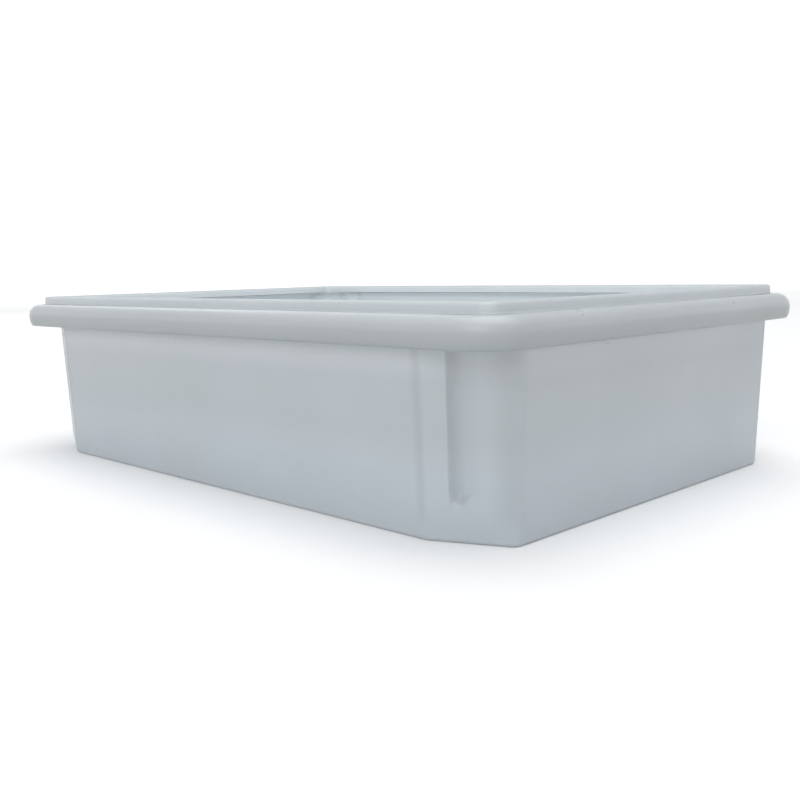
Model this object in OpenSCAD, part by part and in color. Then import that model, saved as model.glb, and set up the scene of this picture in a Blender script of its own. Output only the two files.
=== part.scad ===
// Deep developing tray: an open, tapered basin with fluted cut corners,
// a rolled rim that hangs clear of the walls, and a raised bead round the mouth.
// The tray is one plastic moulding, drawn here as the regions that meet face to face.
// Millimetres, Z up, origin at the centre of the underside, X along the long sides.

/* [Tray] */
// Length over the rim, along X
tray_length = 457; // [300:1:520]
// Width over the rim, along Y
tray_width = 308; // [240:1:400]
// Height from the underside to the top of the bead
tray_height = 113; // [80:1:140]
// Thickness of the walls
wall_t = 3; // [2:0.1:3.5]
// Taper of the walls from the vertical, in degrees
draft = 2.4; // [1:0.1:3]

/* [Floor] */
// Thickness of the floor
floor_t = 3; // [2:0.1:4]
// Outside radius along the bottom edge
heel_r = 2.5; // [1:0.5:3]
// Number of ribs that hold a print off the floor
rib_count = 7; // [3:2:9]
// Distance between the middles of two ribs
rib_pitch = 32; // [16:1:32]
// Width of a rib at its foot
rib_width = 6; // [4:0.5:10]
// Height of a rib above the floor
rib_height = 2; // [1:0.5:3]

/* [Corners] */
// Reach of a cut corner along the long side, just under the rim
corner_long = 44; // [30:1:60]
// Reach of a cut corner along the short side, just under the rim
corner_short = 20; // [16:1:40]
// Outside radius of the two upright edges of a cut corner
corner_r = 10; // [9:0.5:12]
// Width of the flute down each corner
flute_width = 8; // [5:0.5:10]
// Depth of the flute
flute_depth = 3; // [1.5:0.5:4]
// Middle of the flute, measured across the corner from its edge on the long side
flute_place = 17.3; // [14:0.1:24]
// Height of the flute's closed lower end
flute_foot = 17; // [12:1:40]

/* [Rim] */
// Overhang of the rim beyond the walls
rim_reach = 8.8; // [8:0.1:12]
// Outside radius of the rim's corners
rim_corner_r = 25; // [20:1:40]
// Outside radius of the rolled edge
roll_r = 8; // [6:0.5:8]
// Height of the rim from the flat flange to the bottom of the skirt
rim_drop = 15.4; // [12:0.1:24]
// Thickness of the rim
rim_t = 3; // [2:0.1:3]

/* [Bead] */
// Height of the bead above the flange
bead_height = 5.5; // [3:0.5:8]
// Thickness of the bead
bead_width = 3.5; // [3:0.1:5]
// Distance from the rim's outer face to the bead's outer face
bead_inset = 12.9; // [12:0.1:16]
// Outside radius of the bead's corners
bead_corner_r = 8.3; // [6:0.1:16]

/* [Hidden] */
$fn = 64;

// Levels, from the top down
flange_top = tray_height - bead_height;
flange_under = flange_top - rim_t;
roll_foot = flange_top - roll_r;
skirt_foot = flange_top - rim_drop;

// Half sizes over the rim, and over the walls just under the flange
rim_a = tray_length / 2;
rim_b = tray_width / 2;
body_a = rim_a - rim_reach;
body_b = rim_b - rim_reach;

// How far the taper brings the walls in at a given height
function taper(z) = (flange_under - z) * tan(draft);

// A cut corner turns in two steps: off the long side, then onto the short side
turn_long = atan2(corner_short, corner_long);
turn_short = 90 - turn_long;
cut_width = norm([corner_long, corner_short]);
tangent_long = corner_r * tan(turn_long / 2);
tangent_short = corner_r * tan(turn_short / 2);
edge_long = [body_a - corner_long - tangent_long, -body_b + corner_r];
edge_short = [body_a - corner_r, -body_b + corner_short + tangent_short];
flat_width = cut_width - tangent_long - tangent_short;

// The flute is part of a cylinder that lies partly outside the corner's flat
flute_r = (pow(flute_width / 2, 2) + pow(flute_depth, 2)) / (2 * flute_depth);
flute_axis = flute_r - flute_depth;

// The floor meets the feet of the walls at this distance in from the walls' top
foot_inset = corner_r - 1;

// The opening inside the bead
mouth_inset = bead_inset + bead_width - rim_reach;

// Points of an arc, by its centre, radius and two angles
function arc(centre, r, from, to, steps = 6) = [
    for (i = [0:steps])
        let (a = from + (to - from) * i / steps)
        centre + r * [cos(a), sin(a)]
];

// A front right corner's points, copied to all four corners in order
function around(corner) =
    let (back = [for (i = [len(corner) - 1:-1:0]) corner[i]])
    concat(corner, [for (p = back) [p[0], -p[1]]], [for (p = corner) -p], [for (p = back) [-p[0], p[1]]]);

// The walls' outline brought in by a distance, with sharp edges
function sharp_outline(inset) = around([
    [body_a - corner_long - inset * tan(turn_long / 2), -body_b + inset],
    [body_a - inset, -body_b + corner_short + inset * tan(turn_short / 2)],
]);

// The same outline with its edges rounded
function round_outline(inset) = around(concat(
    arc(edge_long, corner_r - inset, -90, turn_long - 90),
    arc(edge_short, corner_r - inset, turn_long - 90, 0)
));

// Section of a wall: x is out from the face under the flange, y is the height
module wall_section() {
    heel = [-taper(heel_r) - heel_r, heel_r];
    inner_foot = -taper(floor_t) - wall_t;
    polygon(concat(
        [[-wall_t, flange_under], [inner_foot, floor_t], [-foot_inset, floor_t], [-foot_inset, 0]],
        arc(heel, heel_r, -90, 0),
        [[0, flange_under]]
    ));
}

// Section of a solid slab behind the outer face, which the flute's shell is cut from
module slab_section() {
    depth = flute_depth + wall_t + 1;
    polygon([
        [-depth, flange_under],
        [-taper(floor_t) - depth, floor_t],
        [-taper(floor_t), floor_t],
        [0, flange_under],
    ]);
}

// Section of the rolled edge: a quarter of a ring, x is out from the walls' face
module roll_section() {
    translate([rim_reach - roll_r, roll_foot]) difference() {
        intersection() {
            circle(roll_r);
            square(roll_r);
        }
        circle(roll_r - rim_t);
    }
}

// Section of the skirt that hangs from the rolled edge, with a rounded foot
module skirt_section() {
    foot_r = rim_t / 2;
    translate([rim_reach - rim_t, skirt_foot + foot_r]) square([rim_t, roll_foot - skirt_foot - foot_r]);
    intersection() {
        translate([rim_reach - foot_r, skirt_foot + foot_r]) circle(foot_r);
        translate([rim_reach - rim_t, skirt_foot]) square([rim_t, foot_r]);
    }
}

// Section of the bead with a rounded top: x is out from its outer face
module bead_section() {
    top_r = bead_width / 2;
    translate([-bead_width, flange_top]) square([bead_width, bead_height - top_r]);
    intersection() {
        translate([-top_r, tray_height - top_r]) circle(top_r);
        translate([-bead_width, tray_height - top_r]) square([bead_width, top_r]);
    }
}

// A section carried in a straight line along Y, at a distance out along X
module straight_run(reach, from, to) {
    translate([reach, to, 0]) rotate([90, 0, 0]) linear_extrude(to - from) children();
}

// A section carried round a corner of a given radius at its zero line, starting out along X
module turned_run(centre, radius, turn) {
    translate(centre) rotate_extrude(angle = turn) translate([radius, 0]) children();
}

// One side of a ring, with half of the round corner at each end
module mitred_run(reach, half, radius) {
    side = half - radius;
    straight_run(reach, -side, side) children();
    turned_run([reach - radius, side], radius, 45) children();
    mirror([0, 1, 0]) turned_run([reach - radius, side], radius, 45) children();
}

// Turns a side drawn out along X to face the front, right, back or left
module facing(side) {
    rotate(side * 90) children();
}
FRONT = -1;
RIGHT = 0;
BACK = 1;
LEFT = 2;

// Copies the front right corner to another corner
module corner_at(x_sign, y_sign) {
    mirror([x_sign < 0 ? 1 : 0, 0, 0]) mirror([0, y_sign > 0 ? 1 : 0, 0]) children();
}

// Half a side's length, from the middle of the tray to its end
function half_along(side) = side == FRONT || side == BACK ? rim_a : rim_b;
function half_across(side) = side == FRONT || side == BACK ? rim_b : rim_a;

// The floor fills the space between the feet of the walls
module floor_panel() {
    color("gainsboro") linear_extrude(floor_t) polygon(round_outline(foot_inset));
}

// One rib: a low round ridge along X with round ends
module rib(half) {
    r = (pow(rib_width / 2, 2) + pow(rib_height, 2)) / (2 * rib_height);
    module ridge() {
        intersection() {
            translate([0, rib_height - r]) circle(r);
            translate([-rib_width / 2, 0]) square([rib_width, rib_height]);
        }
    }
    rotate([90, 0, 90]) translate([0, 0, -half]) linear_extrude(2 * half) ridge();
    for (end = [-1, 1]) {
        translate([end * half, 0, 0]) rotate(-end * 90) rotate_extrude(angle = 180) intersection() {
            ridge();
            square([rib_width, rib_height]);
        }
    }
}

// The ribs lie side by side on the floor
module floor_ribs() {
    half = edge_long[0] - rib_width;
    color("gainsboro") for (i = [0:rib_count - 1]) {
        translate([0, (i - (rib_count - 1) / 2) * rib_pitch, floor_t]) rib(half);
    }
}

// A wall runs between the upright edges of two cut corners
module wall(side) {
    reach = half_across(side) - rim_reach;
    half = side == FRONT || side == BACK ? edge_long[0] : -edge_short[1];
    color("whitesmoke") facing(side) straight_run(reach, -half, half) wall_section();
}

// The flute's axis, which leans with the taper of the corner's flat
module along_flute() {
    top = [corner_r + flute_axis, flute_place - tangent_long, flange_under];
    translate(top) rotate([0, draft, 0]) children();
}

// The flute's hollow, or the outside of its shell when it is grown by the wall's thickness
module flute(grow) {
    drop = flange_under - flute_foot + grow;
    along_flute() translate([0, 0, -drop]) cylinder(h = drop + rim_t, r = flute_r + grow);
}

// A cut corner: a flat with the flute in it, between a turn off the long side and one onto the short side
module corner_post(x_sign, y_sign) {
    color("white") corner_at(x_sign, y_sign) translate(edge_long) rotate(turn_long - 90) difference() {
        union() {
            mirror([0, 1, 0]) turned_run([0, 0], corner_r, turn_long) wall_section();
            straight_run(corner_r, 0, flat_width) wall_section();
            turned_run([0, flat_width], corner_r, turn_short) wall_section();
            intersection() {
                straight_run(corner_r, 0, flat_width) slab_section();
                flute(wall_t);
            }
        }
        flute(0);
    }
}

// The flat top of the rim, from the rolled edge to the mouth, mitred at the corners
module flange(side) {
    half = half_along(side);
    reach = half_across(side);
    depth = corner_long + bead_inset;
    mitre = [[reach, -half], [reach, half], [reach - depth, half - depth], [reach - depth, depth - half]];
    color("white") translate([0, 0, flange_under]) linear_extrude(rim_t) difference() {
        intersection() {
            union() {
                square([2 * (rim_a - roll_r), 2 * (rim_b - rim_corner_r)], center = true);
                square([2 * (rim_a - rim_corner_r), 2 * (rim_b - roll_r)], center = true);
                for (x = [-1, 1], y = [-1, 1]) {
                    translate([x * (rim_a - rim_corner_r), y * (rim_b - rim_corner_r)])
                        circle(rim_corner_r - roll_r);
                }
            }
            facing(side) polygon(mitre);
        }
        polygon(sharp_outline(mouth_inset));
    }
}

// The rolled edge round the flange, mitred at the corners
module rolled_edge(side) {
    reach = half_across(side) - rim_reach;
    half = half_along(side) - rim_reach;
    color("white") facing(side) mitred_run(reach, half, rim_corner_r - rim_reach) roll_section();
}

// The upright skirt under the rolled edge, along a side
module skirt(side) {
    reach = half_across(side) - rim_reach;
    half = half_along(side) - rim_corner_r;
    color("whitesmoke") facing(side) straight_run(reach, -half, half) skirt_section();
}

// The skirt round a corner
module skirt_corner(x_sign, y_sign) {
    centre = [rim_a - rim_corner_r, rim_b - rim_corner_r];
    color("whitesmoke") corner_at(x_sign, y_sign) mirror([0, 1, 0])
        turned_run(centre, rim_corner_r - rim_reach, 90) skirt_section();
}

// The raised bead round the mouth, mitred at the corners
module bead(side) {
    reach = half_across(side) - bead_inset;
    half = half_along(side) - bead_inset;
    color("white") facing(side) mitred_run(reach, half, bead_corner_r) bead_section();
}

floor_panel();
floor_ribs();
wall(FRONT);  // front_wall
wall(RIGHT);  // right_wall
wall(BACK);  // back_wall
wall(LEFT);  // left_wall
corner_post(1, -1);  // front_right_corner
corner_post(-1, -1);  // front_left_corner
corner_post(1, 1);  // back_right_corner
corner_post(-1, 1);  // back_left_corner
flange(FRONT);  // front_flange
flange(RIGHT);  // right_flange
flange(BACK);  // back_flange
flange(LEFT);  // left_flange
rolled_edge(FRONT);  // front_rolled_edge
rolled_edge(RIGHT);  // right_rolled_edge
rolled_edge(BACK);  // back_rolled_edge
rolled_edge(LEFT);  // left_rolled_edge
skirt(FRONT);  // front_skirt
skirt(RIGHT);  // right_skirt
skirt(BACK);  // back_skirt
skirt(LEFT);  // left_skirt
skirt_corner(1, -1);  // front_right_skirt_corner
skirt_corner(-1, -1);  // front_left_skirt_corner
skirt_corner(1, 1);  // back_right_skirt_corner
skirt_corner(-1, 1);  // back_left_skirt_corner
bead(FRONT);  // front_bead
bead(RIGHT);  // right_bead
bead(BACK);  // back_bead
bead(LEFT);  // left_bead
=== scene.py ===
"""Looks of a deep developing tray: one milky plastic moulding, drawn as the regions that meet face to face.

Every region is a closed skin swept round the tray. A section is a closed loop of strokes in the plane of
r (outward from the walls' face just under the rim) and z (height). It is carried round one of three outlines:
the walls' outline with its cut corners, the rim's outline, or the bead's outline.
"""

import math

import bpy
import numpy as np
from mathutils import Matrix, Vector


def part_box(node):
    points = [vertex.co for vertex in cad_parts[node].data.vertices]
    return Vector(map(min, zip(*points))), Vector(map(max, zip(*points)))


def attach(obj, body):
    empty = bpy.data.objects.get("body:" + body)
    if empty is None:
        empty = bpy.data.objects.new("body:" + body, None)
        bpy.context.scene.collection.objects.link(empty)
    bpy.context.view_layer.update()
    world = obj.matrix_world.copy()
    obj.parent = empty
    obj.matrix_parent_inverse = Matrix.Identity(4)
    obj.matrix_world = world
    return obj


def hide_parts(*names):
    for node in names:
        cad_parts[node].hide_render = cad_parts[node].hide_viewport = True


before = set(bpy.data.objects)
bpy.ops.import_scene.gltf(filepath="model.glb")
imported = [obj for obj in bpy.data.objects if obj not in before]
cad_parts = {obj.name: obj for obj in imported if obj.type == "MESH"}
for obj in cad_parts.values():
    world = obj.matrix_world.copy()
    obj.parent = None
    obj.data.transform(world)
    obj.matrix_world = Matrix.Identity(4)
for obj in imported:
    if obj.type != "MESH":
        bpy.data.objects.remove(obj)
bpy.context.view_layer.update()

MM = 0.001


def low(node, axis):
    """Lowest coordinate of a CAD node along an axis (0, 1 or 2)."""
    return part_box(node)[0][axis]


def high(node, axis):
    """Highest coordinate of a CAD node along an axis (0, 1 or 2)."""
    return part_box(node)[1][axis]


# Sizes that the frame gives
TOP = high("front_bead", 2)
FLANGE_TOP = high("front_flange", 2)
FLANGE_UNDER = low("front_flange", 2)
ROLL_FOOT = low("front_rolled_edge", 2)
SKIRT_FOOT = low("front_skirt", 2)
FLOOR_TOP = high("floor_panel", 2)
RIM_A = high("right_skirt", 0)
BODY_A = high("right_wall", 0)
BODY_B = high("back_wall", 1)
BEAD_OUT = high("right_bead", 0) - BODY_A
LONG_END = high("front_wall", 0)
SHORT_END = high("right_wall", 1)
RIM_ARC_X = high("front_skirt", 0)
RIM_ARC_Y = high("right_skirt", 1)
RIM_REACH = RIM_A - BODY_A
ROLL_R = FLANGE_TOP - ROLL_FOOT
RIBS_X = high("floor_ribs", 0)
RIBS_Y = high("floor_ribs", 1)
RIBS_TOP = high("floor_ribs", 2)

# Sizes of the moulding that the boxes don't give
WALL_T = 3.0 * MM
RIM_T = 3.0 * MM
BEAD_T = 3.5 * MM
DRAFT = math.radians(2.4)
CORNER_R = 10.0 * MM
CORNER_LONG = 44.0 * MM
CORNER_SHORT = 20.0 * MM
BEAD_CORNER_R = 8.3 * MM
HEEL_R = 2.5 * MM
FOOT_INSET = 9.0 * MM
INNER_HEEL_R = 1.6 * MM
UNDER_RIM_R = 0.6 * MM
LIP_R = 0.5 * MM
BEAD_FOOT_R = 1.2 * MM
SKIRT_TURN_IN = 2.4 * MM
SKIRT_TURN_UP = 6.8 * MM
RIB_COUNT = 7
RIB_HALF_WIDTH = 3.0 * MM
RIB_SHARPNESS = 1.5
RIB_CREST = 0.02

# The lip of the mouth, and the cove that runs from under it down to the walls' inner face
MOUTH = BEAD_OUT - BEAD_T
LIP_FOOT = FLANGE_TOP - LIP_R
LIP_HANDLE = 2.4 * MM
COVE_JOINT = (-WALL_T - 0.35 * MM, FLANGE_UNDER)
COVE_UP = (COVE_JOINT[0] - 0.4 * MM, COVE_JOINT[1] + 1.2 * MM)
COVE_DOWN = (COVE_JOINT[0] + 0.3 * MM, COVE_JOINT[1] - 1.0 * MM)
COVE_FOOT_Z = FLANGE_UNDER - 3.0 * MM
COVE_FOOT_HANDLE = 1.0 * MM

# The flute of a cut corner, measured across its flat from the edge on the long side, and up from the ground
FLUTE_LEFT = 13.3 * MM
FLUTE_RISE = 5.0 * MM
FLUTE_FADE = 12.0 * MM
FLUTE_DEPTH = 3.4 * MM
FLUTE_FOOT = 17.0 * MM
FLUTE_END = 7.0 * MM
FLUTE_ROUND = 2.0 * MM
FLUTE_MARGIN = 2.0 * MM

# The valley beside the long side, the crown of the flat, and how both fade at the foot and under the rim
VALLEY_PLACE = -1.5 * MM
VALLEY_HALF = 4.0 * MM
VALLEY_DEPTH = 0.5 * MM
CROWN = 1.0 * MM
DENT_EASE = 10.0 * MM
FADE_UNDER_RIM = 2.0 * MM
DENT_STEP = 0.05 * MM
STEEP = 0.5

# Painted shades of a cut corner: in the flute, and in a band at each of its two turns
FLUTE_SHADE = 0.10
FLUTE_SHADE_EDGE = 0.8 * MM
FLUTE_SHADE_WIDTH = 0.7
FLUTE_SHADE_END = 0.6
LONG_TURN_PLACE = -2.2 * MM
LONG_TURN_HALF = 5.0 * MM
LONG_TURN_SHADE = 0.10
SHORT_TURN_PLACE = 44.0 * MM
SHORT_TURN_HALF = 14.0 * MM
SHORT_TURN_SHADE = 0.11
TURN_SHADE_EASE = 15.0 * MM

# The three outlines round the tray, and the lengths and turns of a cut corner
CUT, RIM, BEAD = 0, 1, 2
TURN_LONG = math.atan2(CORNER_SHORT, CORNER_LONG)
TURN_SHORT = math.pi / 2 - TURN_LONG
TANGENT_LONG = CORNER_R * math.tan(TURN_LONG / 2)
TANGENT_SHORT = CORNER_R * math.tan(TURN_SHORT / 2)
CORNER_WIDTH = math.hypot(CORNER_LONG, CORNER_SHORT)
FLAT_HALF = CORNER_WIDTH / 2
CORNER_END = CORNER_WIDTH - TANGENT_SHORT + CORNER_R * TURN_SHORT
DRAFT_DEG = math.degrees(DRAFT)

CORNERS = ("front_right", "back_right", "back_left", "front_left")
SIDES = ("front", "right", "back", "left")
SIDE_ENDS = {
    "front": ("front_left", "front_right"),
    "right": ("front_right", "back_right"),
    "back": ("back_right", "back_left"),
    "left": ("back_left", "front_left"),
}

# Steps round the tray: each turn of a cut corner, its flat, and a straight run
LONG_STEPS = 12
FLAT_STEPS = 88
SHORT_STEPS = 20
RUN_STEPS = 14
END_STEPS = 12
END_STEP = 0.6 * MM

# Steps along a section: the walls' faces below, at and above the flutes' ends, and each round
WALL_STEPS = (8, 26, 52)
HEEL_STEPS = 10
INNER_HEEL_STEPS = 6
FILLET_STEPS = 4
WALL_COVE_STEPS = 6
LIP_COVE_STEPS = 10
ROLL_STEPS = 20
ROLL_INSIDE_STEPS = 12
SKIRT_STEPS = 14
SKIRT_INSIDE_STEPS = 4
BEAD_FOOT_STEPS = 6
BEAD_OUTER_STEPS = 18
BEAD_INNER_STEPS = 4
BEAD_TURN = 150

# Steps of the floor and its ribs
FLOOR_RINGS = 14
RIB_END_STEPS = 16
RIB_RINGS = 8

# Colours and gloss of the milky plastic
CLOUD_DARK = (0.512, 0.550, 0.570)
CLOUD_MID = (0.530, 0.568, 0.592)
CLOUD_LIGHT = (0.548, 0.585, 0.612)
CLOUD_STOPS = [(0.3, CLOUD_DARK), (0.5, CLOUD_MID), (0.72, CLOUD_LIGHT)]
SPECK = (0.40, 0.42, 0.43)
SPECK_SHARE = 0.08
WORN = (0.58, 0.61, 0.62)
WORN_SHARE = 0.5
WORN_FOOT = 5.0 * MM
WORN_TOP = 2.5 * MM
ROUGHNESS = 0.32
SMOOTHER = 0.05
ROUGHER = 0.06
SCUFF_ROUGHNESS = 0.05
WORN_ROUGHNESS = 0.25
SPECULAR = 0.45
IOR = 1.5

# Noises of the plastic: scale in features per metre, detail and roughness
CLOUDS = (9.0, 3.0, 0.55)
MOTTLE = (420.0, 3.0, 0.6)
RUBBING = (140.0, 5.0, 0.6)
GLOSS = (26.0, 5.0, 0.6)
RIPPLE = (14.0, 1.0, 0.4)
GRAIN = (650.0, 3.0, 0.5)
SCUFFS = (1.0, 3.0, 0.5)
SCUFF_STRETCH = (60.0, 60.0, 420.0)

# Bumps of the plastic: strength and height
RIPPLE_BUMP = (0.35, 0.6 * MM)
GRAIN_BUMP = (0.25, 0.05 * MM)
SCUFF_BUMP = (0.06, 0.04 * MM)

# Painted light and shade by height, which multiply the colour. They stand in for the light that comes through
# translucent plastic: lighter under the rim and inside, darker down the rim
WALL_PAINTED_LIGHT = [
    (0.0, (0.78, 0.80, 0.83)),
    (32.0 * MM, (0.785, 0.805, 0.835)),
    (52.0 * MM, (0.745, 0.755, 0.760)),
    (76.0 * MM, (0.755, 0.760, 0.765)),
    (86.0 * MM, (0.86, 0.86, 0.86)),
    (92.0 * MM, (1.00, 1.00, 1.00)),
    (FLANGE_UNDER, (1.30, 1.30, 1.30)),
]
INSIDE_PAINTED_LIGHT = [(0.0, (1.25, 1.25, 1.25)), (TOP, (1.32, 1.32, 1.31))]
RIM_PAINTED_SHADE = [
    (SKIRT_FOOT, (0.55, 0.555, 0.545)),
    (ROLL_FOOT, (0.65, 0.65, 0.64)),
    (FLANGE_TOP, (0.94, 0.94, 0.94)),
    (TOP, (0.97, 0.97, 0.97)),
]

# The stage: a flat disc that curls up, and glows more the further it is from the tray
STAGE_INNER = 2.0
STAGE_FLAT = 5.0
STAGE_CURVE_OUT = 3.0
STAGE_CURVE_UP = 2.6
STAGE_STEPS = 64
STAGE_CURVE_DEGREES = range(10, 91, 10)
STAGE_COLOUR = (0.92, 0.93, 0.94, 1)
STAGE_ROUGHNESS = 0.9
STAGE_SPECULAR = 0.1
GLOW_START = 0.8
FLOOR_GLOW = 0.05
FAR_GLOW = 0.55

# Lights: name, place, target, size and power in watts
WORLD_LIGHT = 0.42
LIGHTS = (
    ("key", (1.1, -2.4, 1.7), (0, 0, 0.05), (2.0, 1.4), 28.0),
    ("top", (0.1, 0.2, 2.4), (0, 0, 0), (2.6, 2.0), 34.0),
    ("window", (-2.4, 1.3, 1.3), (0, 0, 0.1), (1.6, 1.0), 7.0),
)

CAMERA_PLACE = (0.4769, -0.4569, 0.1279)
CAMERA_YAW = math.radians(45.09)
CAMERA_PITCH = math.radians(7.85)
CAMERA_ROLL = math.radians(-1.27)
CAMERA_LENS = 42.88
CAMERA_SENSOR = 36.0
CAMERA_CLIP = 0.01


# ---------------------------------------------------------------- outlines


def smooth(x):
    """Eases from 0 to 1 as x goes from 0 to 1."""
    x = np.clip(x, 0, 1)
    return x * x * (3 - 2 * x)


def arc_point(centre, radius, angle):
    """Point and outward direction on an arc in plan, by an angle in radians."""
    out = np.array([math.cos(angle), math.sin(angle)])
    return np.array(centre) + radius * out, out


def rounded_corner(s, centre, radius):
    """Point and outward direction a share s of the way round a plain round corner of the front right."""
    start = centre[0] - LONG_END
    bend_length = radius * math.pi / 2
    end = -centre[1] - SHORT_END
    along = s * (start + bend_length + end)
    if along <= start:
        return np.array([LONG_END + along, centre[1] - radius]), np.array([0.0, -1.0])
    if along <= start + bend_length:
        return arc_point(centre, radius, -math.pi / 2 + (along - start) / radius)
    return np.array([centre[0] + radius, centre[1] + along - start - bend_length]), np.array([1.0, 0.0])


def cut_corner():
    """The front right cut corner: points, outward directions, and places across the flat, in order."""
    long_centre = (LONG_END, -BODY_B + CORNER_R)
    short_centre = (BODY_A - CORNER_R, -SHORT_END)
    flat_start = -math.pi / 2 + TURN_LONG
    points = []
    for i in range(LONG_STEPS):
        point, out = arc_point(long_centre, CORNER_R, -math.pi / 2 + TURN_LONG * i / LONG_STEPS)
        points.append((point, out, TANGENT_LONG * (2 * i / LONG_STEPS - 1)))
    first, out = arc_point(long_centre, CORNER_R, flat_start)
    last, out = arc_point(short_centre, CORNER_R, flat_start)
    width = np.linalg.norm(last - first)
    for i in range(FLAT_STEPS):
        share = i / FLAT_STEPS
        points.append((first + (last - first) * share, out, TANGENT_LONG + width * share))
    for i in range(SHORT_STEPS + 1):
        angle = flat_start + TURN_SHORT * i / SHORT_STEPS
        point, out = arc_point(short_centre, CORNER_R, angle)
        points.append((point, out, TANGENT_LONG + width + CORNER_R * (angle - flat_start)))
    return points


def corner_stations():
    """Stations of the front right corner: for each outline a point and a direction, and the place across."""
    cut = cut_corner()
    steps = [np.linalg.norm(b[0] - a[0]) for a, b in zip(cut, cut[1:])]
    shares = np.concatenate([[0], np.cumsum(steps)]) / sum(steps)
    rim_centre = (RIM_ARC_X, -RIM_ARC_Y)
    rim_radius = RIM_A - RIM_ARC_X - RIM_REACH
    bead_centre = (BODY_A + BEAD_OUT - BEAD_CORNER_R, -BODY_B - BEAD_OUT + BEAD_CORNER_R)
    bead_radius = BEAD_CORNER_R - BEAD_OUT
    stations = []
    for (point, out, across), s in zip(cut, shares):
        rim = rounded_corner(s, rim_centre, rim_radius)
        bead = rounded_corner(s, bead_centre, bead_radius)
        stations.append(([point, rim[0], bead[0]], [out, rim[1], bead[1]], across))
    return stations


def straight_stations(start, end, out, on_long_side):
    """Stations between two corners, where the outlines are one line, closer together near its ends."""
    start, end = np.array(start), np.array(end)
    length = np.linalg.norm(end - start)
    near = [END_STEP * (i + 1) for i in range(END_STEPS)]
    inner = length - 2 * near[-1]
    middle = [near[-1] + inner * i / RUN_STEPS for i in range(1, RUN_STEPS)]
    stations = []
    for place in near + middle + [length - d for d in reversed(near)]:
        point = start + (end - start) * place / length
        from_corner = min(place, length - place)
        across = -TANGENT_LONG - from_corner if on_long_side else CORNER_END + from_corner
        stations.append(([point] * 3, [np.array(out)] * 3, across))
    return stations


def mirrored(stations, x_sign, y_sign):
    """The front right corner's stations carried to another corner, in order round the tray."""
    sign = np.array([x_sign, y_sign])
    moved = []
    for points, outs, across in stations:
        moved.append(([p * sign for p in points], [o * sign for o in outs], across))
    return moved if x_sign * y_sign > 0 else moved[::-1]


def ring():
    """All stations, anticlockwise from the front wall's left end, and where each run and corner begins."""
    corner = corner_stations()
    parts = [
        ("front_wall", straight_stations((-LONG_END, -BODY_B), (LONG_END, -BODY_B), (0.0, -1.0), True)),
        ("front_right", mirrored(corner, 1, 1)),
        ("right_wall", straight_stations((BODY_A, -SHORT_END), (BODY_A, SHORT_END), (1.0, 0.0), False)),
        ("back_right", mirrored(corner, 1, -1)),
        ("back_wall", straight_stations((LONG_END, BODY_B), (-LONG_END, BODY_B), (0.0, 1.0), True)),
        ("back_left", mirrored(corner, -1, -1)),
        ("left_wall", straight_stations((-BODY_A, SHORT_END), (-BODY_A, -SHORT_END), (-1.0, 0.0), False)),
        ("front_left", mirrored(corner, -1, 1)),
    ]
    starts = {}
    stations = []
    for name, part in parts:
        starts[name] = (len(stations), len(stations) + len(part) - 1)
        stations.extend(part)
    points = np.array([s[0] for s in stations])
    outs = np.array([s[1] for s in stations])
    across = np.array([s[2] for s in stations])
    return points, outs, across, starts


POINTS, OUTS, ACROSS, SPANS = ring()
COUNT = len(POINTS)
WAY = np.sign(np.roll(ACROSS, -1) - np.roll(ACROSS, 1))


# ---------------------------------------------------------------- sections


def line(a, b, steps=1, outline=CUT):
    """A straight stroke between two points of a section, with the air on its right."""
    a, b = np.array(a), np.array(b)
    along = (b - a) / np.linalg.norm(b - a)
    return [(*(a + (b - a) * i / steps), along[1], -along[0], outline) for i in range(steps + 1)]


def bend(centre, radius, start, end, steps, outline=CUT):
    """An arc by its angles in degrees: it bulges into the air when it runs anticlockwise."""
    side = 1 if end > start else -1
    rows = []
    for i in range(steps + 1):
        a = math.radians(start + (end - start) * i / steps)
        c, s = math.cos(a), math.sin(a)
        rows.append((centre[0] + radius * c, centre[1] + radius * s, side * c, side * s, outline))
    return rows


def curve(p0, p1, p2, p3, steps, outline=CUT):
    """A cubic curve between two points of a section, with the air on its right."""
    p = [np.array(q) for q in (p0, p1, p2, p3)]
    rows = []
    for i in range(steps + 1):
        t = i / steps
        u = 1 - t
        point = u**3 * p[0] + 3 * u * u * t * p[1] + 3 * u * t * t * p[2] + t**3 * p[3]
        along = 3 * u * u * (p[1] - p[0]) + 6 * u * t * (p[2] - p[1]) + 3 * t * t * (p[3] - p[2])
        along /= np.linalg.norm(along)
        rows.append((*point, along[1], -along[0], outline))
    return rows


def joined(parts):
    """The rows of parts that run smoothly into each other, with each shared point once."""
    rows = list(parts[0])
    for part in parts[1:]:
        rows.extend(part[1:])
    return rows


def stroke(*parts):
    """Joins parts that run smoothly into each other into one stroke."""
    return np.array(joined(parts))


def wall_rise(bottom, top):
    """A straight stroke up a wall's face, with finer steps where the flutes end."""
    bottom, top = np.array(bottom), np.array(top)
    flute_end = (FLUTE_FOOT - FLUTE_MARGIN, FLUTE_FOOT + FLUTE_ROUND + FLUTE_END + FLUTE_MARGIN)
    levels = [bottom[1], *flute_end, top[1]]
    places = [bottom + (top - bottom) * (z - bottom[1]) / (top[1] - bottom[1]) for z in levels]
    return joined([line(a, b, steps) for a, b, steps in zip(places, places[1:], WALL_STEPS)])


def wall_face(z):
    """Place of the walls' outer face at a height."""
    return -(FLANGE_UNDER - z) * math.tan(DRAFT)


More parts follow.
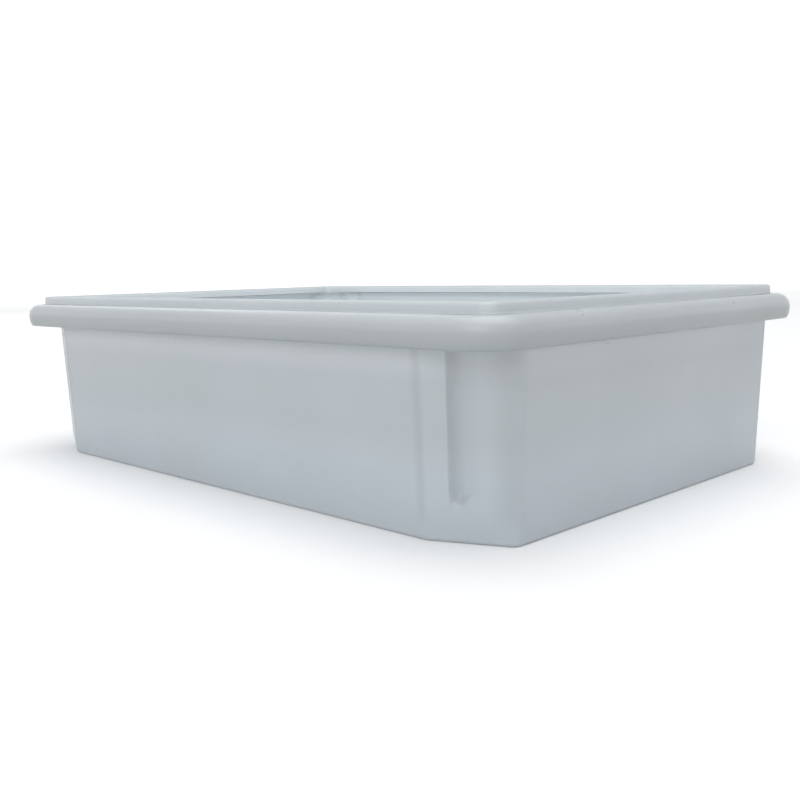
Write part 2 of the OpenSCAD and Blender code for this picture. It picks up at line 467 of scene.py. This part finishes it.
def wall_section():
    """A wall, from the floor's joint out round the heel, up to the flange, and down the inner face."""
    heel = (wall_face(HEEL_R) - HEEL_R / math.cos(DRAFT), HEEL_R)
    heel_top = (heel[0] + HEEL_R * math.cos(DRAFT), heel[1] - HEEL_R * math.sin(DRAFT))
    under_z = FLANGE_UNDER - UNDER_RIM_R
    under = (wall_face(under_z) + UNDER_RIM_R / math.cos(DRAFT), under_z)
    under_foot = (under[0] - UNDER_RIM_R * math.cos(DRAFT), under[1] + UNDER_RIM_R * math.sin(DRAFT))
    foot_z = FLOOR_TOP + INNER_HEEL_R
    foot = (wall_face(foot_z) - WALL_T - INNER_HEEL_R / math.cos(DRAFT), foot_z)
    foot_top = (foot[0] + INNER_HEEL_R * math.cos(DRAFT), foot[1] - INNER_HEEL_R * math.sin(DRAFT))
    cove_foot = (wall_face(COVE_FOOT_Z) - WALL_T, COVE_FOOT_Z)
    above_cove_foot = (cove_foot[0], cove_foot[1] + COVE_FOOT_HANDLE)
    inner_face = wall_rise(foot_top, cove_foot)
    outside = stroke(
        line((-FOOT_INSET, 0), (heel[0], 0), 2),
        bend(heel, HEEL_R, -90, -DRAFT_DEG, HEEL_STEPS),
        wall_rise(heel_top, under_foot),
        bend(under, UNDER_RIM_R, 180 - DRAFT_DEG, 90, FILLET_STEPS),
    )
    top = stroke(line((under[0], FLANGE_UNDER), COVE_JOINT))
    inside = stroke(
        curve(COVE_JOINT, COVE_DOWN, above_cove_foot, cove_foot, WALL_COVE_STEPS),
        [(r, z, -nr, -nz, outline) for r, z, nr, nz, outline in reversed(inner_face)],
        bend(foot, INNER_HEEL_R, -DRAFT_DEG, -90, INNER_HEEL_STEPS),
        line((foot[0], FLOOR_TOP), (-FOOT_INSET, FLOOR_TOP)),
    )
    joint = stroke(line((-FOOT_INSET, FLOOR_TOP), (-FOOT_INSET, 0)))
    return [outside, top, inside, joint]


def flange_section():
    """The rim's flat top, from the walls out to the rolled edge, and in to the lip of the mouth."""
    roll_start = RIM_REACH - ROLL_R
    under = wall_face(FLANGE_UNDER) + UNDER_RIM_R
    lip = (MOUTH + LIP_R, LIP_FOOT)
    lip_under = (lip[0], lip[1] - LIP_R)
    lip_handle = (lip[0] + LIP_HANDLE, lip[1] - LIP_R)
    joint = stroke(line(COVE_JOINT, (under, FLANGE_UNDER)))
    underside = np.array([(under, FLANGE_UNDER, 0, -1, CUT), (roll_start, FLANGE_UNDER, 0, -1, RIM)])
    edge = stroke(line((roll_start, FLANGE_UNDER), (roll_start, FLANGE_TOP), 1, RIM))
    top = np.array([(roll_start, FLANGE_TOP, 0, 1, RIM), (MOUTH, FLANGE_TOP, 0, 1, CUT)])
    inside = stroke(
        bend(lip, LIP_R, 180, 270, FILLET_STEPS),
        curve(lip_under, lip_handle, COVE_UP, COVE_JOINT, LIP_COVE_STEPS),
    )
    return [joint, underside, edge, top, inside]


def roll_section():
    """The rolled edge: a quarter turn from the flange over to the skirt."""
    centre = (RIM_REACH - ROLL_R, ROLL_FOOT)
    inner = ROLL_R - RIM_T
    foot = stroke(line((centre[0] + inner, ROLL_FOOT), (RIM_REACH, ROLL_FOOT), 1, RIM))
    outside = stroke(bend(centre, ROLL_R, 0, 90, ROLL_STEPS, RIM))
    joint = stroke(line((centre[0], FLANGE_TOP), (centre[0], FLANGE_UNDER), 1, RIM))
    inside = stroke(bend(centre, inner, 90, 0, ROLL_INSIDE_STEPS, RIM))
    return [foot, outside, joint, inside]


def skirt_section():
    """The skirt under the rolled edge, whose outer face turns in at its foot."""
    tip = RIM_T - SKIRT_TURN_IN
    tip_centre = (RIM_REACH - SKIRT_TURN_IN, SKIRT_FOOT + tip)
    inner_foot = (RIM_REACH - RIM_T, SKIRT_FOOT + tip)
    foot_z = SKIRT_FOOT + SKIRT_TURN_UP
    outer = []
    for i in range(SKIRT_STEPS + 1):
        a = math.radians(-90 + 90 * i / SKIRT_STEPS)
        out, up = math.cos(a) / SKIRT_TURN_IN, math.sin(a) / SKIRT_TURN_UP
        length = math.hypot(out, up)
        r = RIM_REACH - SKIRT_TURN_IN + SKIRT_TURN_IN * math.cos(a)
        outer.append((r, foot_z + SKIRT_TURN_UP * math.sin(a), out / length, up / length, RIM))
    outside = stroke(
        bend(tip_centre, tip, -180, -90, FILLET_STEPS, RIM),
        outer,
        line((RIM_REACH, foot_z), (RIM_REACH, ROLL_FOOT), 2, RIM),
    )
    joint = stroke(line((RIM_REACH, ROLL_FOOT), (RIM_REACH - RIM_T, ROLL_FOOT), 1, RIM))
    inside = stroke(line((RIM_REACH - RIM_T, ROLL_FOOT), inner_foot, SKIRT_INSIDE_STEPS, RIM))
    return [outside, joint, inside]


def bead_section():
    """The bead, with a small fillet at its outer foot and a round top."""
    top_r = BEAD_T / 2
    crest = (BEAD_OUT - top_r, TOP - top_r)
    foot = (BEAD_OUT + BEAD_FOOT_R, FLANGE_TOP + BEAD_FOOT_R)
    bottom = stroke(line((MOUTH, FLANGE_TOP), (foot[0], FLANGE_TOP), 1, BEAD))
    outside = stroke(
        bend(foot, BEAD_FOOT_R, 270, 180, BEAD_FOOT_STEPS, BEAD),
        line((BEAD_OUT, foot[1]), (BEAD_OUT, TOP - top_r), 2, BEAD),
        bend(crest, top_r, 0, BEAD_TURN, BEAD_OUTER_STEPS, BEAD),
    )
    inside = stroke(
        bend(crest, top_r, BEAD_TURN, 180, BEAD_INNER_STEPS, BEAD),
        line((MOUTH, TOP - top_r), (MOUTH, FLANGE_TOP), 2, BEAD),
    )
    return [bottom, outside, inside]


# ---------------------------------------------------------------- dents and shades of the cut corners


def swell(across, middle, half):
    """A soft hump across a corner: 1 at its middle and 0 beyond its half width."""
    return 1 - smooth(np.abs(across - middle) / half)


def flute_profile(across):
    """Share of the flute's depth across a corner: steep at the left edge, then fading to the right."""
    inside = across - FLUTE_LEFT
    rise = np.sin(np.clip(inside / FLUTE_RISE, 0, 1) * math.pi / 2)
    return rise * (1 - smooth((inside - FLUTE_RISE) / FLUTE_FADE))


def dent(across, z):
    """How far a corner's face stands in from its flat, at a place across it and a height."""
    from_middle = np.clip((across - FLUTE_LEFT - FLUTE_RISE) / FLUTE_RISE, -1, 1)
    above_foot = smooth((z - FLUTE_FOOT - FLUTE_ROUND * from_middle**2) / FLUTE_END)
    below_rim = smooth((FLANGE_UNDER - UNDER_RIM_R - z) / FADE_UNDER_RIM)
    flute = FLUTE_DEPTH * flute_profile(across) * above_foot
    valley = VALLEY_DEPTH * swell(across, VALLEY_PLACE, VALLEY_HALF)
    crown = CROWN * swell(across, FLAT_HALF, FLAT_HALF)
    return flute * below_rim + (valley - crown) * smooth((z - HEEL_R) / DENT_EASE) * below_rim


def corner_shade(across, z):
    """How much a place on a cut corner is darkened: in a band at each of its two turns, and in the flute.

    The shades are painted. They don't follow from the plastic's thickness.
    """
    inside = across - FLUTE_LEFT
    far_side = smooth((inside - FLUTE_RISE * FLUTE_SHADE_WIDTH) / FLUTE_RISE)
    in_flute = smooth(inside / FLUTE_SHADE_EDGE) * (1 - far_side)
    above_foot = smooth((z - FLUTE_FOOT) / (FLUTE_END * FLUTE_SHADE_END))
    turns = LONG_TURN_SHADE * swell(across, LONG_TURN_PLACE, LONG_TURN_HALF)
    turns = turns + SHORT_TURN_SHADE * swell(across, SHORT_TURN_PLACE, SHORT_TURN_HALF)
    return turns * smooth((z - HEEL_R) / TURN_SHADE_EASE) + FLUTE_SHADE * in_flute * above_foot


# ---------------------------------------------------------------- lofting


def section_grid(section, stations):
    """Places and normals of a section at some stations: two lists of arrays, one array for each stroke."""
    spots, normals = [], []
    for rows in section:
        family = rows[:, 4].astype(int)
        base = POINTS[stations][:, family]
        out = OUTS[stations][:, family]
        r, z, nr, nz = (np.repeat(rows[None, :, column], len(stations), 0) for column in range(4))
        across = np.repeat(ACROSS[stations][:, None], len(rows), 1)
        dented = (family[None, :] == CUT) & (z < FLANGE_UNDER)
        depth = np.where(dented, dent(across, z), 0.0)
        slope_t = np.where(dented, (dent(across + DENT_STEP, z) - depth) / DENT_STEP, 0.0)
        slope_z = np.where(dented, (dent(across, z + DENT_STEP) - depth) / DENT_STEP, 0.0)
        facing = np.sign(nr) * (np.abs(nr) > STEEP)
        tangent = np.stack([-out[..., 1], out[..., 0]], -1)
        spot = base + out * (r - depth)[..., None]
        normal = out * nr[..., None] + tangent * (WAY[stations][:, None] * facing * slope_t)[..., None]
        up = nz + slope_z * facing
        spots.append(np.concatenate([spot, z[..., None]], -1))
        full = np.concatenate([normal, up[..., None]], -1)
        normals.append(full / np.linalg.norm(full, axis=-1, keepdims=True))
    return spots, normals


def new_piece(name, verts, faces, loop_normals, slots):
    """A mesh object with its own normals, and a material slot for each face."""
    mesh = bpy.data.meshes.new(name)
    mesh.from_pydata([tuple(v) for v in verts], [], faces)
    mesh.polygons.foreach_set("use_smooth", [True] * len(mesh.polygons))
    mesh.polygons.foreach_set("material_index", slots)
    mesh.normals_split_custom_set(loop_normals)
    piece = bpy.data.objects.new(name, mesh)
    bpy.context.scene.collection.objects.link(piece)
    return piece


def loft(name, section, stations, inside=()):
    """A closed piece of the ring: a section carried along some stations, with a flat cap at each end.

    inside lists the strokes that face the basin, which take the second material. Each point also keeps its
    corner shade, which the material reads.
    """
    stations = np.array(stations) % COUNT
    spots, normals = section_grid(section, stations)
    loop = np.concatenate([s[:, :-1] for s in spots], 1)
    size = loop.shape[1]
    verts = loop.reshape(-1, 3)
    family = np.concatenate([rows[:-1, 4] for rows in section])
    across = np.repeat(ACROSS[stations][:, None], size, 1)
    shade = np.where(family[None, :] == CUT, corner_shade(across, loop[..., 2]), 0.0).ravel()
    faces, loop_normals, slots = [], [], []
    k = 0
    for stroke_no, n in enumerate(normals):
        for j in range(n.shape[1] - 1):
            here, after = k, (k + 1) % size
            k += 1
            for i in range(len(stations) - 1):
                a, b = i * size, (i + 1) * size
                faces.append((a + here, b + here, b + after, a + after))
                slots.append(int(stroke_no in inside))
                loop_normals.extend((n[i, j], n[i + 1, j], n[i + 1, j + 1], n[i, j + 1]))
    for i, turn in ((0, 1), (len(stations) - 1, -1)):
        out = OUTS[stations[i], int(section[0][0, 4])]
        face = [i * size + k for k in range(size)][::turn]
        faces.append(tuple(face))
        slots.append(0)
        loop_normals.extend([(turn * out[1], -turn * out[0], 0.0)] * size)
    piece = new_piece(name, verts, faces, loop_normals, slots)
    piece.data.attributes.new("corner_shade", "FLOAT", "POINT").data.foreach_set("value", shade)
    return piece


def half_turn(name, family):
    """The station of a corner where an outline has turned by half of a right angle."""
    first, last = SPANS[name]
    outs = OUTS[first : last + 1, family]
    return first + int(np.argmin(np.abs(np.abs(outs[:, 0]) - np.abs(outs[:, 1]))))


def arc_ends(name):
    """The stations of a corner where the rim's outline starts and stops turning."""
    first, last = SPANS[name]
    outs = np.abs(OUTS[first : last + 1, RIM])
    turning = np.flatnonzero((outs[:, 0] > 0) & (outs[:, 1] > 0))
    return first + turning[0] - 1, first + turning[-1] + 1


def between(start, end):
    """Stations from one to another, round past the ring's start where needed."""
    return list(range(start, end + 1 if end > start else end + COUNT + 1))


def basin_pieces():
    """The walls and the fluted cut corners between them."""
    section = wall_section()
    pieces = {}
    for side in SIDES:
        before, after = SIDE_ENDS[side]
        stations = between(SPANS[before][1], SPANS[after][0])
        pieces[side + "_wall"] = loft(side + "_wall_skin", section, stations, (2,))
    for corner in CORNERS:
        pieces[corner + "_corner"] = loft(corner + "_corner_skin", section, between(*SPANS[corner]), (2,))
    return pieces


def rim_pieces():
    """The flange, the rolled edge, the skirt and the bead, split as the frame splits them."""
    pieces = {}
    for part, section, family, inside in (
        ("flange", flange_section(), RIM, (4,)),
        ("rolled_edge", roll_section(), RIM, ()),
        ("bead", bead_section(), BEAD, (2,)),
    ):
        for side in SIDES:
            before, after = SIDE_ENDS[side]
            stations = between(half_turn(before, family), half_turn(after, family))
            pieces[f"{side}_{part}"] = loft(f"{side}_{part}_skin", section, stations, inside)
    section = skirt_section()
    for side in SIDES:
        before, after = SIDE_ENDS[side]
        stations = between(arc_ends(before)[1], arc_ends(after)[0])
        pieces[side + "_skirt"] = loft(side + "_skirt_skin", section, stations)
    for corner in CORNERS:
        pieces[corner + "_skirt_corner"] = loft(corner + "_skirt_skin", section, between(*arc_ends(corner)))
    return pieces


# ---------------------------------------------------------------- floor


def floor_piece():
    """The floor: rings that close in from the foot of the walls to the middle, above and below."""
    foot = POINTS[:, CUT] - OUTS[:, CUT] * FOOT_INSET
    verts, faces, loop_normals = [], [], []
    for z in (FLOOR_TOP, 0.0):
        for ring_no in range(FLOOR_RINGS):
            share = 1 - ring_no / FLOOR_RINGS
            verts.extend((x * share, y * share, z) for x, y in foot)
        verts.append((0.0, 0.0, z))
    layer = FLOOR_RINGS * COUNT + 1
    for level, up in ((0, 1), (1, -1)):
        start = level * layer
        for ring_no in range(FLOOR_RINGS):
            for i in range(COUNT):
                j = (i + 1) % COUNT
                a, b = start + ring_no * COUNT + i, start + ring_no * COUNT + j
                inner = (b + COUNT, a + COUNT) if ring_no < FLOOR_RINGS - 1 else (start + layer - 1,)
                face = (a, b, *inner)[::up]
                faces.append(face)
                loop_normals.extend([(0.0, 0.0, float(up))] * len(face))
    for i in range(COUNT):
        j = (i + 1) % COUNT
        faces.append((layer + i, layer + j, j, i))
        out = OUTS[i, CUT]
        loop_normals.extend([(out[0], out[1], 0.0)] * 4)
    slots = [1] * (FLOOR_RINGS * COUNT) + [0] * (FLOOR_RINGS * COUNT + COUNT)
    return new_piece("floor_panel_skin", verts, faces, loop_normals, slots)


def rib_height(share):
    """Share of a rib's height at a share of the way from its middle line to its foot."""
    return math.cos(math.pi / 2 * share) ** RIB_SHARPNESS


def floor_ribs_piece():
    """Low round ribs along the floor, whose flanks run softly into it."""
    height = RIBS_TOP - FLOOR_TOP
    pitch = (2 * RIBS_Y - 2 * RIB_HALF_WIDTH) / (RIB_COUNT - 1)
    straight = RIBS_X - RIB_HALF_WIDTH
    verts, faces = [], []
    for rib_no in range(RIB_COUNT):
        middle = (rib_no - (RIB_COUNT - 1) / 2) * pitch
        start = len(verts)
        outline = []
        for end in (1, -1):
            for i in range(RIB_END_STEPS + 1):
                a = -math.pi / 2 + math.pi * i / RIB_END_STEPS
                outline.append((end * straight, end * math.cos(a), end * math.sin(a)))
        for ring_no in range(RIB_RINGS + 1):
            share = 1 - ring_no / RIB_RINGS
            z = FLOOR_TOP + height * rib_height(share) if ring_no else FLOOR_TOP
            reach = RIB_HALF_WIDTH * max(share, RIB_CREST)
            verts.extend((x + out_x * reach, middle + out_y * reach, z) for x, out_x, out_y in outline)
        size = len(outline)
        for ring_no in range(RIB_RINGS):
            for i in range(size):
                j = (i + 1) % size
                a, b = start + ring_no * size + i, start + ring_no * size + j
                faces.append((a, b, b + size, a + size))
        faces.append(tuple(start + RIB_RINGS * size + i for i in range(size)))
        faces.append(tuple(start + i for i in range(size))[::-1])
    mesh = bpy.data.meshes.new("floor_ribs_skin")
    mesh.from_pydata(verts, [], faces)
    mesh.polygons.foreach_set("use_smooth", [len(f) == 4 for f in faces])
    piece = bpy.data.objects.new("floor_ribs_skin", mesh)
    bpy.context.scene.collection.objects.link(piece)
    return piece


# ---------------------------------------------------------------- material


def noise(tree, coords, scale, detail, roughness):
    """Noise between 0 and 1."""
    node = tree.nodes.new("ShaderNodeTexNoise")
    node.inputs["Scale"].default_value = scale
    node.inputs["Detail"].default_value = detail
    node.inputs["Roughness"].default_value = roughness
    tree.links.new(coords, node.inputs["Vector"])
    return node.outputs["Fac"]


def ramp(tree, value, stops):
    """A colour ramp over a value. Each stop is (place, colour)."""
    node = tree.nodes.new("ShaderNodeValToRGB")
    tree.links.new(value, node.inputs["Fac"])
    elements = node.color_ramp.elements
    elements[0].position, elements[0].color = stops[0][0], (*stops[0][1], 1)
    elements[1].position, elements[1].color = stops[-1][0], (*stops[-1][1], 1)
    for place, colour in stops[1:-1]:
        elements.new(place).color = (*colour, 1)
    return node.outputs["Color"]


def remap(tree, value, low_in, high_in, low_out, high_out):
    """A value carried from one range to another, and held at its ends."""
    node = tree.nodes.new("ShaderNodeMapRange")
    limits = (("From Min", low_in), ("From Max", high_in), ("To Min", low_out), ("To Max", high_out))
    for name, number in limits:
        node.inputs[name].default_value = number
    tree.links.new(value, node.inputs["Value"])
    return node.outputs["Result"]


def maths(tree, operation, a, b):
    """Two numbers or sockets put together."""
    node = tree.nodes.new("ShaderNodeMath")
    node.operation = operation
    for socket, value in zip(node.inputs, (a, b)):
        if isinstance(value, float):
            socket.default_value = value
        else:
            tree.links.new(value, socket)
    return node.outputs["Value"]


def multiply(tree, a, b):
    """The product of two colours."""
    node = tree.nodes.new("ShaderNodeVectorMath")
    node.operation = "MULTIPLY"
    tree.links.new(a, node.inputs[0])
    tree.links.new(b, node.inputs[1])
    return node.outputs["Vector"]


def stretched(tree, coords, scale):
    """Coordinates squeezed along the axes, for marks that run one way."""
    node = tree.nodes.new("ShaderNodeMapping")
    node.inputs["Scale"].default_value = scale
    tree.links.new(coords, node.inputs["Vector"])
    return node.outputs["Vector"]


def bump(tree, height, strength, distance, under=None):
    """A bump from a height, on top of another bump where one is given."""
    node = tree.nodes.new("ShaderNodeBump")
    node.inputs["Strength"].default_value = strength
    node.inputs["Distance"].default_value = distance
    tree.links.new(height, node.inputs["Height"])
    if under is not None:
        tree.links.new(under, node.inputs["Normal"])
    return node.outputs["Normal"]


def mix_colour(tree, share, a, b):
    """A colour between a and b, where share 0 is a."""
    node = tree.nodes.new("ShaderNodeMix")
    node.data_type = "RGBA"
    tree.links.new(share, node.inputs["Factor"])
    for socket, colour in ((node.inputs[6], a), (node.inputs[7], b)):
        if isinstance(colour, tuple):
            socket.default_value = (*colour, 1)
        else:
            tree.links.new(colour, socket)
    return node.outputs[2]


def body_colour(tree, coords, wear):
    """Faint clouds and fine specks, paler where the plastic is rubbed."""
    clouds = ramp(tree, noise(tree, coords, *CLOUDS), CLOUD_STOPS)
    specks = remap(tree, noise(tree, coords, *MOTTLE), 0.3, 0.7, 0.0, SPECK_SHARE)
    return mix_colour(tree, wear, mix_colour(tree, specks, clouds, SPECK), WORN)


def edge_wear(tree, coords, height):
    """Where the plastic is rubbed: at the foot and along the top of the bead, in patches."""
    foot = remap(tree, height, 0.0, WORN_FOOT, 1.0, 0.0)
    top = remap(tree, height, TOP - WORN_TOP, TOP, 0.0, 1.0)
    patches = remap(tree, noise(tree, coords, *RUBBING), 0.4, 0.6, 0.0, WORN_SHARE)
    return maths(tree, "MULTIPLY", maths(tree, "MAXIMUM", foot, top), patches)


def milky_plastic(name, light_by_height):
    """Milky moulded plastic: faint clouds in the colour, a soft uneven gloss, fine scuffs and rubbed edges.

    The second argument gives (height, shade) pairs of painted light and shade that multiply the colour, and
    so do the painted shades of the cut corners.
    """
    material = bpy.data.materials.new(name)
    material.use_nodes = True
    tree = material.node_tree
    shader = tree.nodes["Principled BSDF"]
    coords = tree.nodes.new("ShaderNodeTexCoord").outputs["Object"]
    split = tree.nodes.new("ShaderNodeSeparateXYZ")
    tree.links.new(coords, split.inputs["Vector"])
    height = split.outputs["Z"]

    wear = edge_wear(tree, coords, height)
    # Painted light and shade by height
    painted_light_ramp = ramp(tree, remap(tree, height, 0.0, TOP, 0.0, 1.0), [(z / TOP, shade) for z, shade in light_by_height])
    shade = tree.nodes.new("ShaderNodeAttribute")
    shade.attribute_name = "corner_shade"
    lightness = remap(tree, shade.outputs["Fac"], 0.0, 1.0, 1.0, 0.0)
    colour = multiply(tree, multiply(tree, body_colour(tree, coords, wear), painted_light_ramp), lightness)
    tree.links.new(colour, shader.inputs["Base Color"])

    scuffs = noise(tree, stretched(tree, coords, SCUFF_STRETCH), *SCUFFS)
    scuffed = remap(tree, scuffs, 0.45, 0.75, 0.0, 1.0)
    gloss = remap(tree, noise(tree, coords, *GLOSS), 0.3, 0.7, ROUGHNESS - SMOOTHER, ROUGHNESS + ROUGHER)
    gloss = maths(tree, "ADD", gloss, maths(tree, "MULTIPLY", scuffed, SCUFF_ROUGHNESS))
    gloss = maths(tree, "ADD", gloss, maths(tree, "MULTIPLY", wear, WORN_ROUGHNESS))
    tree.links.new(gloss, shader.inputs["Roughness"])

    ripple = bump(tree, noise(tree, coords, *RIPPLE), *RIPPLE_BUMP)
    grain = bump(tree, noise(tree, coords, *GRAIN), *GRAIN_BUMP, ripple)
    tree.links.new(bump(tree, scuffs, *SCUFF_BUMP, grain), shader.inputs["Normal"])
    shader.inputs["Specular IOR Level"].default_value = SPECULAR
    shader.inputs["IOR"].default_value = IOR
    return material


# ---------------------------------------------------------------- stage, lights and camera


def stage_material():
    """A pale matt surface that glows a little, and more the further it is from the middle."""
    material = bpy.data.materials.new("stage_white")
    material.use_nodes = True
    tree = material.node_tree
    shader = tree.nodes["Principled BSDF"]
    shader.inputs["Base Color"].default_value = STAGE_COLOUR
    shader.inputs["Roughness"].default_value = STAGE_ROUGHNESS
    shader.inputs["Specular IOR Level"].default_value = STAGE_SPECULAR
    shader.inputs["Emission Color"].default_value = (1, 1, 1, 1)
    coords = tree.nodes.new("ShaderNodeTexCoord").outputs["Object"]
    length = tree.nodes.new("ShaderNodeVectorMath")
    length.operation = "LENGTH"
    tree.links.new(coords, length.inputs[0])
    glow = remap(tree, length.outputs["Value"], GLOW_START, STAGE_FLAT, FLOOR_GLOW, FAR_GLOW)
    tree.links.new(glow, shader.inputs["Emission Strength"])
    return material


def stage_floor():
    """A wide pale floor that curls up at its far edge all round, so that only a faint horizon shows."""
    rings = [(STAGE_INNER, 0.0), (STAGE_FLAT, 0.0)]
    for degrees in STAGE_CURVE_DEGREES:
        a = math.radians(degrees)
        radius = STAGE_FLAT + STAGE_CURVE_OUT * math.sin(a)
        rings.append((radius, STAGE_CURVE_UP - STAGE_CURVE_UP * math.cos(a)))
    angles = [2 * math.pi * i / STAGE_STEPS for i in range(STAGE_STEPS)]
    verts = [(0.0, 0.0, 0.0)]
    for radius, z in rings:
        verts.extend((radius * math.cos(a), radius * math.sin(a), z) for a in angles)
    faces = [(0, 1 + i, 1 + (i + 1) % STAGE_STEPS) for i in range(STAGE_STEPS)]
    for ring_no in range(len(rings) - 1):
        start = 1 + ring_no * STAGE_STEPS
        for i in range(STAGE_STEPS):
            a, b = start + i, start + (i + 1) % STAGE_STEPS
            faces.append((a, a + STAGE_STEPS, b + STAGE_STEPS, b))
    mesh = bpy.data.meshes.new("stage_floor")
    mesh.from_pydata(verts, [], faces)
    mesh.polygons.foreach_set("use_smooth", [True] * len(faces))
    mesh.materials.append(stage_material())
    floor = bpy.data.objects.new("stage_floor", mesh)
    bpy.context.scene.collection.objects.link(floor)


def area_light(name, place, target, size, power):
    """A white rectangular light that faces its target."""
    data = bpy.data.lights.new(name, "AREA")
    data.shape = "RECTANGLE"
    data.size, data.size_y = size
    data.energy = power
    light = bpy.data.objects.new(name, data)
    light.location = place
    light.rotation_euler = (Vector(target) - Vector(place)).to_track_quat("-Z", "Y").to_euler()
    bpy.context.scene.collection.objects.link(light)


def lighting():
    """An even white world and the studio's area lights."""
    world = bpy.data.worlds.new("studio")
    world.use_nodes = True
    background = world.node_tree.nodes["Background"]
    background.inputs["Color"].default_value = (1, 1, 1, 1)
    background.inputs["Strength"].default_value = WORLD_LIGHT
    bpy.context.scene.world = world
    for light in LIGHTS:
        area_light(*light)


def camera():
    """The camera, by its place, its heading, how far it looks down and how far it leans."""
    ahead = Vector((
        -math.sin(CAMERA_YAW) * math.cos(CAMERA_PITCH),
        math.cos(CAMERA_YAW) * math.cos(CAMERA_PITCH),
        -math.sin(CAMERA_PITCH),
    ))
    right = Vector((math.cos(CAMERA_YAW), math.sin(CAMERA_YAW), 0))
    up = right.cross(ahead)
    x = right * math.cos(CAMERA_ROLL) + up * math.sin(CAMERA_ROLL)
    y = up * math.cos(CAMERA_ROLL) - right * math.sin(CAMERA_ROLL)
    data = bpy.data.cameras.new("camera")
    data.lens = CAMERA_LENS
    data.sensor_width = CAMERA_SENSOR
    data.clip_start = CAMERA_CLIP
    view = bpy.data.objects.new("camera", data)
    view.matrix_world = Matrix((
        (x.x, y.x, -ahead.x, CAMERA_PLACE[0]),
        (x.y, y.y, -ahead.y, CAMERA_PLACE[1]),
        (x.z, y.z, -ahead.z, CAMERA_PLACE[2]),
        (0, 0, 0, 1),
    ))
    bpy.context.scene.collection.objects.link(view)
    bpy.context.scene.camera = view


def build():
    """Every piece with its body, the node it stands for and its materials, and the scene round them."""
    # One plastic in three copies that differ only in painted light and shade by height
    wall_plastic = milky_plastic("milky_plastic", WALL_PAINTED_LIGHT)
    inside_plastic = milky_plastic("milky_plastic_inside_painted_light", INSIDE_PAINTED_LIGHT)
    rim_plastic = milky_plastic("milky_plastic_rim_painted_shade", RIM_PAINTED_SHADE)
    basin = basin_pieces()
    basin["floor_panel"] = floor_piece()
    basin["floor_ribs"] = floor_ribs_piece()
    for pieces, plastic in ((basin, wall_plastic), (rim_pieces(), rim_plastic)):
        for node, piece in pieces.items():
            piece.data.materials.append(inside_plastic if node == "floor_ribs" else plastic)
            piece.data.materials.append(inside_plastic)
            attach(piece, "root")
            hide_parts(node)
    stage_floor()
    lighting()
    camera()
    bpy.context.scene.view_settings.view_transform = "Standard"


build()
